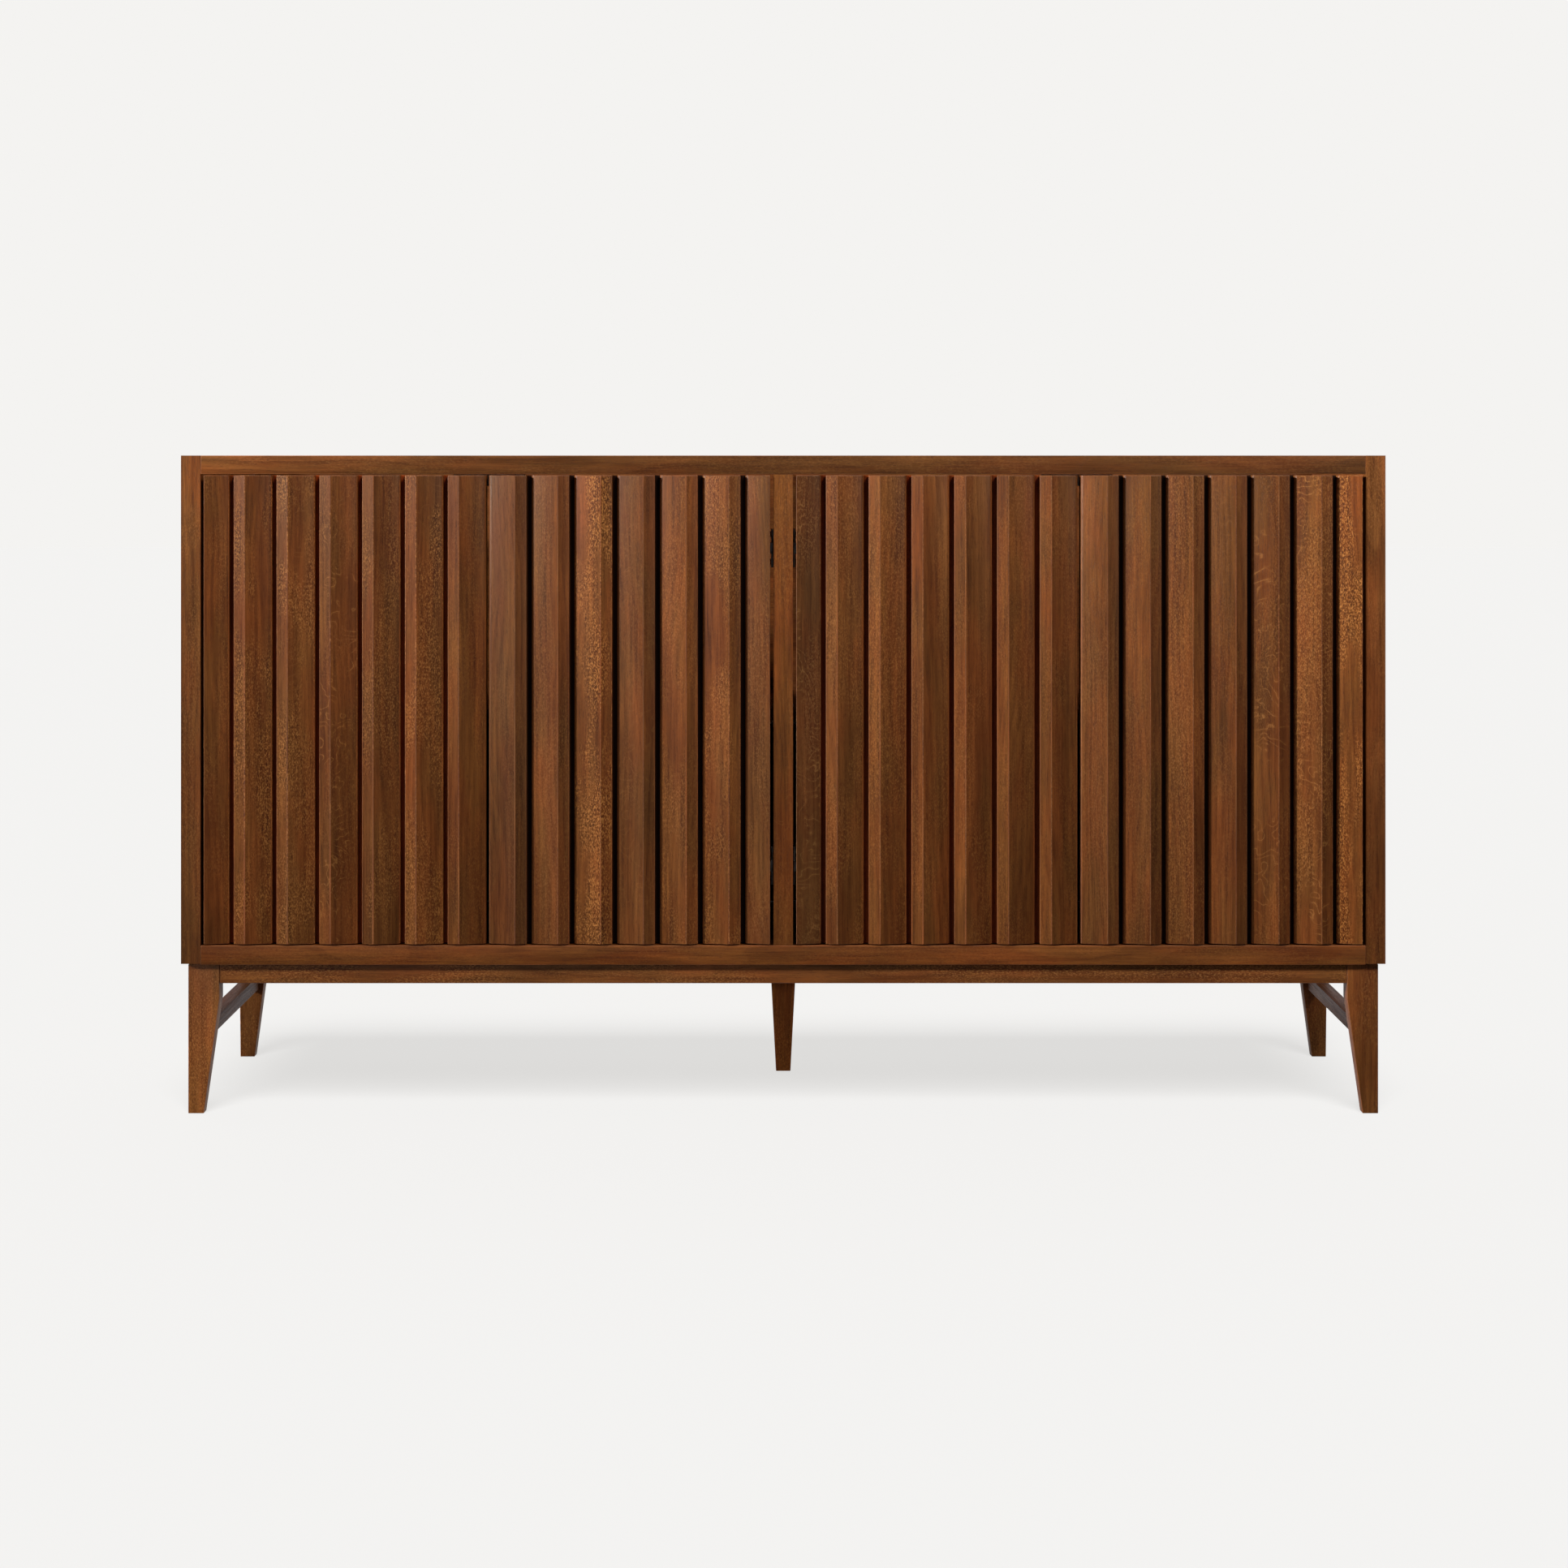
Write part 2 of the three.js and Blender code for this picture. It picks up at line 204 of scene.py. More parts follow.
def add(tree, kind, inputs=None, **settings):
    """Adds a node. An input that is a socket is linked, and any other is a value."""
    node = tree.nodes.new(kind)
    for key, value in settings.items():
        setattr(node, key, value)
    for key, value in (inputs or {}).items():
        if isinstance(value, bpy.types.NodeSocket):
            tree.links.new(value, node.inputs[key])
        else:
            node.inputs[key].default_value = value
    return node


def calc(tree, operation, a, b=0.0, c=0.0):
    """A math node's result."""
    node = add(tree, "ShaderNodeMath", {0: a, 1: b, 2: c}, operation=operation)
    return node.outputs[0]


def ramp(tree, value, low, high, to_low=0.0, to_high=1.0):
    """value carried smoothly from low..high to to_low..to_high, and held at the ends."""
    node = add(
        tree, "ShaderNodeMapRange",
        {"Value": value, "From Min": low, "From Max": high, "To Min": to_low, "To Max": to_high},
        interpolation_type="SMOOTHSTEP",
    )
    return node.outputs["Result"]


def stretched_noise(tree, vector, scales, detail=2.0, roughness=0.55, distortion=0.0):
    """Noise with its own number of features per metre along each axis."""
    scaled = add(tree, "ShaderNodeVectorMath", {0: vector, 1: scales}, operation="MULTIPLY")
    return add(
        tree, "ShaderNodeTexNoise",
        {
            "Vector": scaled.outputs[0], "Scale": 1.0, "Detail": detail,
            "Roughness": roughness, "Distortion": distortion,
        },
    )


def noise_value(tree, vector, scales, **settings):
    return stretched_noise(tree, vector, scales, **settings).outputs["Fac"]


def mul_color(tree, color, tint):
    node = add(tree, "ShaderNodeVectorMath", {0: color, 1: tint}, operation="MULTIPLY")
    return node.outputs[0]


def scale_color(tree, color, factor):
    node = add(tree, "ShaderNodeVectorMath", {0: color, "Scale": factor}, operation="SCALE")
    return node.outputs[0]


def mix_color(tree, factor, a, b):
    node = add(tree, "ShaderNodeMix", data_type="RGBA", blend_type="MIX")
    for socket, value in ((node.inputs[0], factor), (node.inputs[6], a), (node.inputs[7], b)):
        if isinstance(value, bpy.types.NodeSocket):
            tree.links.new(value, socket)
        elif socket.type == "RGBA":
            socket.default_value = (*value, 1.0)
        else:
            socket.default_value = value
    return node.outputs[2]


def new_material(name):
    material = bpy.data.materials.new(name)
    material.use_nodes = True
    material.node_tree.nodes.clear()
    return material, material.node_tree


# ---------------------------------------------------------------- wood

STAIN_DARK = (0.082, 0.0215, 0.0045)
STAIN_LIGHT = (0.300, 0.100, 0.0255)
STAIN_GOLD = (0.44, 0.185, 0.050)
STAIN_PORE = (0.030, 0.010, 0.004)
RING_STRENGTH = 0.15
BOARD_GLOSS = 0.18
EDGE_GLOSS = 0.5
# How much the rounded edges are lightened and whitened: partly rubbed wear, partly a painted highlight.
EDGE_WEAR_AND_HIGHLIGHT = 0.35


def grain_vector(tree, along):
    """Object coordinates turned so that the grain runs along Z. along is x, y or z."""
    where = add(tree, "ShaderNodeTexCoord").outputs["Object"]
    if along == "z":
        return where
    parts = add(tree, "ShaderNodeSeparateXYZ", {0: where}).outputs
    order = {"x": (1, 2, 0), "y": (2, 0, 1)}[along]
    turned = {i: parts[axis] for i, axis in enumerate(order)}
    return add(tree, "ShaderNodeCombineXYZ", turned).outputs[0]


def late_wood_rings(tree, board, place, rng):
    """The dark part of the growth rings, round a pith that lies beside the board and leans a little."""
    sway = stretched_noise(tree, place, (9, 9, 2.1), detail=2.0)
    swayed = add(
        tree, "ShaderNodeVectorMath", {0: sway.outputs["Color"], 1: (0.07, 0.07, 0.0), 2: board},
        operation="MULTIPLY_ADD",
    ).outputs[0]
    parts = add(tree, "ShaderNodeSeparateXYZ", {0: swayed}).outputs
    lean = rng.uniform(-0.035, 0.035)
    pith_x = rng.uniform(-0.12, 0.12) - rng.choice((-0.9, 0.9))
    pith_y = rng.uniform(0.04, 0.14)
    across = calc(tree, "ADD", calc(tree, "MULTIPLY_ADD", parts[2], lean, parts[0]), pith_x)
    through = calc(tree, "ADD", parts[1], pith_y)
    squares = calc(tree, "ADD", calc(tree, "POWER", across, 2.0), calc(tree, "POWER", through, 2.0))
    rings_per_metre = rng.uniform(95, 150)
    ring = calc(tree, "FRACT", calc(tree, "MULTIPLY", calc(tree, "SQRT", squares), rings_per_metre))
    return calc(tree, "MULTIPLY", ramp(tree, ring, 0.15, 0.93), ramp(tree, ring, 1.0, 0.94))


def mottling(tree, place, mottle, flecks):
    """Fine pale and dark flecks in patches, where light catches crossing fibres."""
    patch = ramp(tree, noise_value(tree, place, (24, 24, 6.5), detail=3.0), 0.40, 0.58)
    pale = ramp(tree, mottle, 0.49, 0.64, 0.0, 0.80 * flecks)
    dark = ramp(tree, mottle, 0.49, 0.36, 0.0, 0.60 * flecks)
    pale = calc(tree, "MULTIPLY", pale, patch)
    dark = calc(tree, "MULTIPLY", dark, calc(tree, "MULTIPLY_ADD", patch, 0.8, 0.2))
    return pale, dark


def curls(tree, place, mottle, figure):
    """Pale arcs across the board, close together, in a few patches, and the shade between them."""
    swirl = noise_value(tree, place, (24, 24, 26), detail=2.0, distortion=0.4)
    height = add(tree, "ShaderNodeSeparateXYZ", {0: place}).outputs[2]
    waves = calc(tree, "MULTIPLY_ADD", height, 34.0, calc(tree, "MULTIPLY", swirl, 9.0))
    near_line = calc(tree, "ABSOLUTE", calc(tree, "SUBTRACT", calc(tree, "FRACT", waves), 0.5))
    rare = ramp(tree, noise_value(tree, place, (40, 40, 14), detail=2.0), 0.46, 0.60)
    rare = calc(tree, "MULTIPLY", rare, ramp(tree, mottle, 0.30, 0.55))
    curl = calc(tree, "MULTIPLY", ramp(tree, near_line, 0.10, 0.0, 0.0, 0.55 * figure), rare)
    shadow = calc(tree, "MULTIPLY", ramp(tree, near_line, 0.15, 0.30, 0.0, 0.30 * figure), rare)
    return curl, shadow


def stain_color(tree, place, fine, fibre, late_wood):
    """The stain's colour: streaks and fibres along the grain, and broad clouds in strength and hue."""
    streak = noise_value(tree, place, (70, 70, 3.2), detail=4.0, roughness=0.65)
    cloud = noise_value(tree, place, (26, 26, 5), detail=4.0, roughness=0.60, distortion=0.3)
    hue = noise_value(tree, place, (30, 30, 6), detail=3.0)
    depth = calc(tree, "MULTIPLY_ADD", streak, 0.95, calc(tree, "MULTIPLY_ADD", fine, 1.00, -0.495))
    depth = calc(tree, "MULTIPLY_ADD", fibre, 0.55, calc(tree, "SUBTRACT", depth, 0.275))
    depth = calc(tree, "SUBTRACT", depth, calc(tree, "MULTIPLY", late_wood, RING_STRENGTH))
    color = mix_color(tree, depth, STAIN_DARK, STAIN_LIGHT)
    reddish = mul_color(tree, color, (1.07, 0.96, 0.90))
    olive = mul_color(tree, color, (0.96, 1.06, 1.02))
    color = mix_color(tree, ramp(tree, hue, 0.35, 0.65), reddish, olive)
    return scale_color(tree, color, ramp(tree, cloud, 0.30, 0.70, 0.76, 1.22))


def stained_wood(
    name, along="z", tone=1.0, warmth=0.0, flecks=0.3, figure=0.0, wear_and_highlight=0.0, fade=None,
):
    """Stained hardwood with its own place in the log: (material, tree, color, shader).

    tone scales the brightness, warmth turns the stain towards orange (or grey when negative),
    flecks is the strength of the fine mottling, figure that of the curls, and worn lifts and
    whitens the colour of the rounded edges: partly rubbed wear, partly a painted highlight.
    fade is painted light and shade along the board: where it starts and ends, and its strength at each.
    """
    rng = random.Random(name)
    material, tree = new_material(name)
    board = grain_vector(tree, along)
    shift = tuple(rng.uniform(-20, 20) for _ in range(3))
    place = add(tree, "ShaderNodeVectorMath", {0: board, 1: shift}, operation="ADD").outputs[0]
    late_wood = late_wood_rings(tree, board, place, rng)
    fine = noise_value(tree, place, (330, 330, 9), detail=4.0, roughness=0.70)
    fibre = noise_value(tree, place, (1150, 1150, 45), detail=2.0)
    pore = ramp(tree, noise_value(tree, place, (1500, 1500, 130), detail=1.0), 0.60, 0.70)
    mottle = noise_value(tree, place, (740, 740, 330), detail=4.0, roughness=0.65)
    pale, dark = mottling(tree, place, mottle, flecks)
    curl, shadow = curls(tree, place, mottle, figure)

    color = stain_color(tree, place, fine, fibre, late_wood)
    color = mix_color(tree, calc(tree, "MULTIPLY", pore, 0.40), color, STAIN_PORE)
    color = mix_color(tree, dark, color, STAIN_PORE)
    color = mix_color(tree, pale, color, STAIN_GOLD)
    color = mix_color(tree, shadow, color, STAIN_DARK)
    color = mix_color(tree, curl, color, STAIN_GOLD)
    # Painted light and shade: the colour is scaled from one end of the board to the other.
    if fade:
        along_board = add(tree, "ShaderNodeSeparateXYZ", {0: board}).outputs[2]
        color = scale_color(tree, color, ramp(tree, along_board, *fade))
    # On the rounded edges the colour is lifted and whitened: partly rubbed wear, partly a painted
    # highlight.
    lift = tone * (1 + wear_and_highlight)
    tint = (lift * (1 + 0.16 * warmth), lift, lift * (1 - 0.30 * warmth) * (1 + 0.3 * wear_and_highlight))
    color = mul_color(tree, color, tint)

    roughness = ramp(tree, fine, 0.3, 0.7, 0.50, 0.38)
    roughness = calc(tree, "MULTIPLY_ADD", pore, 0.18, roughness)
    relief = calc(tree, "MULTIPLY_ADD", fine, 0.35, calc(tree, "MULTIPLY", fibre, 0.5))
    relief = calc(tree, "SUBTRACT", relief, calc(tree, "MULTIPLY", pore, 0.7))
    relief = calc(tree, "MULTIPLY_ADD", mottle, 0.4, relief)
    bump = add(tree, "ShaderNodeBump", {"Strength": 0.35, "Distance": 0.00035, "Height": relief})
    shader = add(
        tree, "ShaderNodeBsdfPrincipled",
        {
            "Base Color": color, "Roughness": roughness, "Normal": bump.outputs[0],
            "IOR": 1.5, "Specular IOR Level": EDGE_GLOSS if wear_and_highlight else BOARD_GLOSS,
        },
    )
    add(tree, "ShaderNodeOutputMaterial", {"Surface": shader.outputs[0]})
    return material, tree, color, shader


# How each slat differs, from the meeting edge to the hinge edge: tone, warmth, flecks, figure.
SLAT_LOOKS = {
    1: (
        (0.94, 0.2, 0.30, 0.0), (1.04, 0.1, 0.9, 0.2), (0.90, 0.0, 0.80, 0.0), (1.00, 0.0, 0.35, 1.0),
        (1.08, 0.0, 1.0, 0.3), (1.02, 0.1, 1.1, 0.0), (0.98, 0.1, 0.45, 0.0),
    ),
    2: (
        (0.84, -0.5, 0.20, 0.0), (0.96, -0.1, 0.35, 0.1), (1.12, 0.2, 1.3, 0.0), (0.88, -0.2, 0.20, 0.3),
        (0.98, 0.1, 0.50, 0.0), (1.02, 0.1, 0.85, 0.1), (0.92, -0.4, 0.40, 0.0),
    ),
    3: (
        (0.90, 0.1, 0.35, 0.1), (0.94, 0.2, 0.35, 0.1), (1.04, 0.1, 0.40, 0.0), (1.06, 0.1, 0.35, 0.0),
        (1.08, 0.1, 0.50, 0.2), (0.98, 0.0, 0.55, 0.1), (0.86, -0.6, 0.60, 1.0),
    ),
    4: (
        (0.98, -0.3, 0.30, 0.0), (0.93, -0.1, 0.30, 0.0), (0.98, 0.0, 0.50, 0.0), (0.90, -0.1, 0.25, 0.2),
        (0.92, 0.0, 0.40, 0.9), (1.08, 0.0, 0.80, 1.0), (1.16, 0.3, 1.3, 0.2),
    ),
}
# Grain direction, tone, warmth, flecks and figure of the other boards.
BOARD_LOOKS = {
    "side_panel_left": ("z", 1.00, -0.3, 0.40, 0.0),
    "side_panel_right": ("z", 1.04, -0.1, 0.30, 0.0),
    "top_panel": ("x", 0.97, -0.35, 0.25, 0.0),
    "bottom_panel": ("x", 0.92, 0.4, 0.20, 0.1),
    "center_partition": ("z", 0.92, 0.3, 0.30, 0.2),
    "back_panel": ("x", 0.95, -0.2, 0.2, 0.0),
    "shelf_left": ("x", 0.98, 0.1, 0.25, 0.1),
    "shelf_right": ("x", 1.00, 0.0, 0.25, 0.1),
    "leg_front_left": ("z", 1.28, -0.1, 0.50, 0.0),
    "leg_front_right": ("z", 1.04, 0.0, 0.40, 0.0),
    "leg_back_left": ("z", 1.95, -0.25, 0.45, 0.0),
    "leg_back_right": ("z", 1.10, -0.2, 0.35, 0.0),
    "center_leg": ("z", 1.75, 0.7, 0.35, 0.0),
    "front_apron": ("x", 1.08, -0.2, 0.7, 0.0),
    "back_apron": ("x", 1.00, 0.0, 0.35, 0.0),
    "side_stretcher_left": ("y", 1.05, 0.8, 0.30, 0.0),
    "side_stretcher_right": ("y", 1.00, 0.8, 0.30, 0.0),
}
# Painted light and shade along some boards, from end to end: start, end, and the strength at each.
# The side panels are lit towards the top and the top panel at its left end; the front left leg
# is shaded towards its top, under the case.
BOARD_PAINTED_LIGHT_FADES = {
    "side_panel_left": (0.55, 0.82, 0.95, 1.34),
    "side_panel_right": (0.30, 0.82, 0.86, 1.24),
    "top_panel": (-0.75, -0.40, 1.75, 0.92),
    "leg_front_left": (0.10, 0.175, 1.28, 0.80),
}
EDGE_ROUNDING = 0.8 * MM
# Painted light and shade on the backings' front faces, seen in the gaps between slats: near black painted
# shade on doors 2 and 4, painted reflected red light on doors 1 and 3.
BACKING_GAP_LIGHT_AND_SHADE = {
    1: (1.3, 0.72, 0.48), 2: (0.12, 0.08, 0.07),
    3: (1.1, 0.60, 0.42), 4: (0.12, 0.08, 0.07),
}


def soften(node, width, material_index=0):
    """Rounds a CAD node's edges with modifiers, and leaves its own mesh as it is."""
    weld = node.modifiers.new("weld", "WELD")
    weld.merge_threshold = 0.01 * MM
    flat = node.modifiers.new("flat", "DECIMATE")
    flat.decimate_type = "DISSOLVE"
    flat.angle_limit = math.radians(1)
    bevel = node.modifiers.new("bevel", "BEVEL")
    bevel.width = width
    bevel.segments = 3
    bevel.limit_method = "ANGLE"
    bevel.angle_limit = math.radians(22)
    bevel.use_clamp_overlap = True
    bevel.harden_normals = True
    bevel.material = material_index
    node.data.polygons.foreach_set("use_smooth", [True] * len(node.data.polygons))


def dress_board(name, width=EDGE_ROUNDING, **look):
    node = NODES[name]
    node.data.materials.clear()
    node.data.materials.append(stained_wood("wood_" + name, **look)[0])
    node.data.materials.append(stained_wood("edge_" + name, wear_and_highlight=EDGE_WEAR_AND_HIGHLIGHT, **look)[0])
    soften(node, width, material_index=1)


def dress_backing(door):
    """A backing panel: wood at the back, and painted light and shade on its front face behind the slats.
    """
    name = f"door_{door}_backing"
    front_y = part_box(name)[0].y
    node = NODES[name]
    node.data.materials.clear()
    material, tree, wood, shader = stained_wood("wood_" + name, tone=0.95, warmth=0.2, flecks=0.2)
    where = add(tree, "ShaderNodeTexCoord").outputs["Object"]
    depth = add(tree, "ShaderNodeSeparateXYZ", {0: where}).outputs["Y"]
    behind = ramp(tree, depth, front_y + 0.5 * MM, front_y + 1.5 * MM)
    # The front face, seen in the gaps, gets painted shade on doors 2 and 4 and painted reflected red light
    # on doors 1 and 3.
    dark = mul_color(tree, wood, BACKING_GAP_LIGHT_AND_SHADE[door])
    tree.links.new(mix_color(tree, behind, dark, wood), shader.inputs["Base Color"])
    node.data.materials.append(material)
    soften(node, EDGE_ROUNDING)


def dress_wood():
    for door in DOORS:
        dress_backing(door)
        for i, (tone, warmth, flecks, figure) in enumerate(SLAT_LOOKS[door], start=1):
            dress_board(f"door_{door}_slat_{i}", tone=tone, warmth=warmth, flecks=flecks, figure=figure)
    for name, (along, tone, warmth, flecks, figure) in BOARD_LOOKS.items():
        look = {"along": along, "tone": tone, "warmth": warmth, "flecks": flecks, "figure": figure}
        dress_board(name, fade=BOARD_PAINTED_LIGHT_FADES.get(name), **look)


# ---------------------------------------------------------------- metal and plastic


def brushed_metal(name, color, roughness=0.3, scratch=400.0):
    material, tree = new_material(name)
    where = add(tree, "ShaderNodeTexCoord").outputs["Object"]
    brushing = noise_value(tree, where, (scratch, scratch, scratch * 6), detail=3.0)
    smudge = noise_value(tree, where, (90, 90, 90), detail=3.0)
    shade = calc(tree, "MULTIPLY_ADD", smudge, 0.3, 0.85)
    tint = scale_color(tree, color, shade)
    rough = calc(tree, "MULTIPLY_ADD", brushing, 0.25, roughness - 0.1)
    bump = add(tree, "ShaderNodeBump", {"Strength": 0.2, "Distance": 0.00005, "Height": brushing})
    shader = add(
        tree, "ShaderNodeBsdfPrincipled",
        {"Base Color": tint, "Roughness": rough, "Metallic": 1.0, "Normal": bump.outputs[0]},
    )
    add(tree, "ShaderNodeOutputMaterial", {"Surface": shader.outputs[0]})
    return material


def moulded_plastic(name, color):
    material, tree = new_material(name)
    where = add(tree, "ShaderNodeTexCoord").outputs["Object"]
    pebble = noise_value(tree, where, (1800, 1800, 1800), detail=2.0)
    handled = noise_value(tree, where, (60, 60, 60), detail=3.0)
    shade = calc(tree, "MULTIPLY_ADD", handled, 0.16, 0.92)
    tint = scale_color(tree, color, shade)
    bump = add(tree, "ShaderNodeBump", {"Strength": 0.25, "Distance": 0.00008, "Height": pebble})
    rough = calc(tree, "MULTIPLY_ADD", handled, 0.2, 0.38)
    shader = add(
        tree, "ShaderNodeBsdfPrincipled",
        {"Base Color": tint, "Roughness": rough, "Normal": bump.outputs[0]},
    )
    add(tree, "ShaderNodeOutputMaterial", {"Surface": shader.outputs[0]})
    return material


# ---------------------------------------------------------------- hardware shapes


class Piece:
    """Gathers lofted shapes into one mesh, and then builds it as an object."""

    def __init__(self):
        self.points = []
        self.faces = []

    def loft(self, place, rings):
        """Skins a row of rings with equal counts, closed at both ends. place carries them to the frame."""
        first = len(self.points)
        count = len(rings[0])
        for ring in rings:
            self.points.extend(place @ Vector(point) for point in ring)
        for r in range(len(rings) - 1):
            low = first + r * count
            for i in range(count):
                j = (i + 1) % count
                self.faces.append((low + i, low + j, low + count + j, low + count + i))
        last = first + (len(rings) - 1) * count
        self.faces.append(tuple(range(first + count - 1, first - 1, -1)))
        self.faces.append(tuple(range(last, last + count)))

    def lathe(self, place, profile, sides=32):
        """Turns a profile of (radius, height) pairs about the place's Z axis."""
        self.loft(place, [round_ring(radius, height, sides) for radius, height in profile])

    def build(self, name, material, body):
        data = bpy.data.meshes.new(name)
        data.from_pydata([tuple(p) for p in self.points], [], self.faces)
        work = bmesh.new()
        work.from_mesh(data)
        bmesh.ops.recalc_face_normals(work, faces=work.faces)
        work.to_mesh(data)
        work.free()
        data.polygons.foreach_set("use_smooth", [True] * len(data.polygons))
        data.set_sharp_from_angle(angle=math.radians(32))
        data.materials.append(material)
        obj = bpy.data.objects.new(name, data)
        scene.collection.objects.link(obj)
        if body:
            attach(obj, body)
        return obj


def shaped_ring(radius_at, height, sides):
    """A ring whose radius is a function of its angle."""
    angles = [2 * math.pi * i / sides for i in range(sides)]
    return [(radius_at(a) * math.cos(a), radius_at(a) * math.sin(a), height) for a in angles]


def round_ring(radius, height, sides):
    return shaped_ring(lambda angle: radius, height, sides)


def place_at(origin, out, up=(0, 0, 1)):
    """A frame at origin in metres whose Z looks along out and whose Y is up, with steps of 1 mm."""
    z = Vector(out).normalized()
    x = Vector(up).cross(z).normalized()
    y = z.cross(x)
    turn = Matrix((x, y, z)).transposed().to_4x4()
    return Matrix.Translation(origin) @ turn @ Matrix.Scale(MM, 4)


def rounded_box_ring(half_x, half_y, corner, height, per_corner=5):
    ring = []
    for quarter in range(4):
        center_x = (half_x - corner) * (1 if quarter in (0, 3) else -1)
        center_y = (half_y - corner) * (1 if quarter in (0, 1) else -1)
        for i in range(per_corner + 1):
            angle = math.pi / 2 * (quarter + i / per_corner)
            ring.append((center_x + corner * math.cos(angle), center_y + corner * math.sin(angle), height))
    return ring


def add_plate(piece, place, half_x, half_y, corner, low, high, chamfer=0.3):
    """A flat plate with rounded corners and chamfered edges."""
    rim = high - chamfer
    piece.loft(place, [
        rounded_box_ring(half_x, half_y, corner, low),
        rounded_box_ring(half_x, half_y, corner, rim),
        rounded_box_ring(half_x - chamfer, half_y - chamfer, corner, high),
    ])


SCREW_SIDES = 48


def add_screw(piece, place, radius=3.6, rise=1.0, sunk=0.6):
    """A domed screw head with a cross recess, seen along the place's Z axis."""

    def cross(size):
        reach, half = 0.60 * size, 0.15 * size

        def radius_at(angle):
            big = max(abs(math.cos(angle)), abs(math.sin(angle)))
            small = min(abs(math.cos(angle)), abs(math.sin(angle)))
            return min(reach / big, half / max(small, 0.001))

        return radius_at

    def ring(size, height):
        return round_ring(size, height, SCREW_SIDES)

    piece.loft(place, [
        ring(0.62 * radius, -sunk),
        ring(radius, 0.0),
        ring(radius, 0.25 * rise),
        ring(0.93 * radius, 0.66 * rise),
        ring(0.78 * radius, rise),
        shaped_ring(cross(radius), 1.02 * rise, SCREW_SIDES),
        shaped_ring(cross(0.8 * radius), 0.1 * rise - 0.3 * sunk, SCREW_SIDES),
    ])


# ---------------------------------------------------------------- hinges, catches and pins

CUP_RADIUS = 17.3
CUP_INNER_RADIUS = 16.3
CUP_DEPTH = 11.2
CUP_FLOOR = 0.7
CUP_FLANGE = 1.1
EAR_REACH = 22.0  # from the cup's middle to the middle of an ear
EAR_RADIUS = 7.5
FLANGE_RADIUS = 19.5
CUP_INSET = 22.5  # from the door's hinge edge
LINK_HALF_WIDTH = 6.5
LINK_THICKNESS = 2.0
LINK_STEPS = 40
ARM_TOP = 17.5  # from the wall the arm is screwed to
PLATE_TOP = 3.3
OPENS_TO_RIGHT = {1: 1, 2: -1, 3: 1, 4: -1}  # side of the hinge edge that the door lies on


def flange_radius(angle):
    """The flange's outline: a disc with an ear above and below."""
    across, along = abs(math.cos(angle)), abs(math.sin(angle))
    ear = EAR_REACH * along
    inside = EAR_RADIUS**2 - (EAR_REACH * across) ** 2
    if inside > 0:
        ear += math.sqrt(inside)
    else:
        ear = min(EAR_RADIUS / max(across, 0.001), EAR_REACH + EAR_RADIUS)
    return max(FLANGE_RADIUS, ear if along > 0.5 else 0.0)


def hinge_place(door, height):
    """(cup centre x, hinge height z, the back of the door y, direction into the door) in metres."""
    low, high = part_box(f"door_{door}_backing")
    side = OPENS_TO_RIGHT[door]
    edge = low.x if side > 0 else high.x
    arm_low, arm_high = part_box(f"hinge_arm_{door}_{height}")
    return edge + side * CUP_INSET * MM, (arm_low.z + arm_high.z) / 2, high.y, side


def add_cup(door, height, steel):
    x, z, back, side = hinge_place(door, height)
    place = place_at((x, back, z), (0, 1, 0))
    sides = 96
    piece = Piece()
    piece.loft(place, [
        round_ring(2.0, CUP_FLOOR - CUP_DEPTH - 0.2, sides),
        round_ring(CUP_INNER_RADIUS - 2.5, CUP_FLOOR - CUP_DEPTH, sides),
        round_ring(CUP_INNER_RADIUS - 0.4, CUP_FLOOR - CUP_DEPTH + 1.2, sides),
        round_ring(CUP_INNER_RADIUS, CUP_FLOOR - CUP_DEPTH + 3.0, sides),
        round_ring(CUP_INNER_RADIUS, CUP_FLANGE - 0.9, sides),
        round_ring(CUP_INNER_RADIUS + 0.5, CUP_FLANGE - 0.2, sides),
        round_ring(CUP_INNER_RADIUS + 1.2, CUP_FLANGE, sides),
        shaped_ring(lambda a: flange_radius(a) - 0.4, CUP_FLANGE, sides),
        shaped_ring(flange_radius, CUP_FLANGE - 0.35, sides),
        shaped_ring(flange_radius, 0.05, sides),
        round_ring(CUP_RADIUS, 0.05, sides),
        round_ring(CUP_RADIUS, -CUP_DEPTH + 1.0, sides),
        round_ring(CUP_RADIUS - 1.2, -CUP_DEPTH, sides),
    ])
    for sign in (-1, 1):
        ear = place_at((x, back + (CUP_FLANGE - 0.1) * MM, z + sign * EAR_REACH * MM), (0, 1, 0))
        add_screw(piece, ear, rise=0.9)
    piece.build(f"hinge_cup_{door}_{height}", steel, f"door_{door}")


def add_link(door, height, steel):
    """The strap from the arm's end into the cup."""
    x, z, back, side = hinge_place(door, height)
    arm_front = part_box(f"hinge_arm_{door}_{height}")[0].y
    deep = back - (CUP_DEPTH - CUP_FLOOR - 0.6) * MM
    shallow = arm_front - 0.15 * MM
    place = place_at((x, 0.0, z), (0, 1, 0))
    piece = Piece()
    for offset in (-5.0, 5.0):
        rings = []
        for i in range(LINK_STEPS + 1):
            y = (deep + (shallow - deep) * i / LINK_STEPS) / MM
            ring = rounded_box_ring(LINK_THICKNESS / 2, LINK_HALF_WIDTH, 0.8, y, per_corner=3)
            rings.append([(u + offset, v, w) for u, v, w in ring])
        piece.loft(place, rings)
    for v in (-5.2, 5.2):
        pin = place_at((x - 8.5 * MM, deep + 2.8 * MM, z + v * MM), (1, 0, 0))
        piece.lathe(pin, [(1.0, 0.0), (1.5, 0.4), (1.5, 16.6), (1.0, 17.0)], sides=20)
    link = piece.build(f"hinge_link_{door}_{height}", steel, None)
    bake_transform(link)


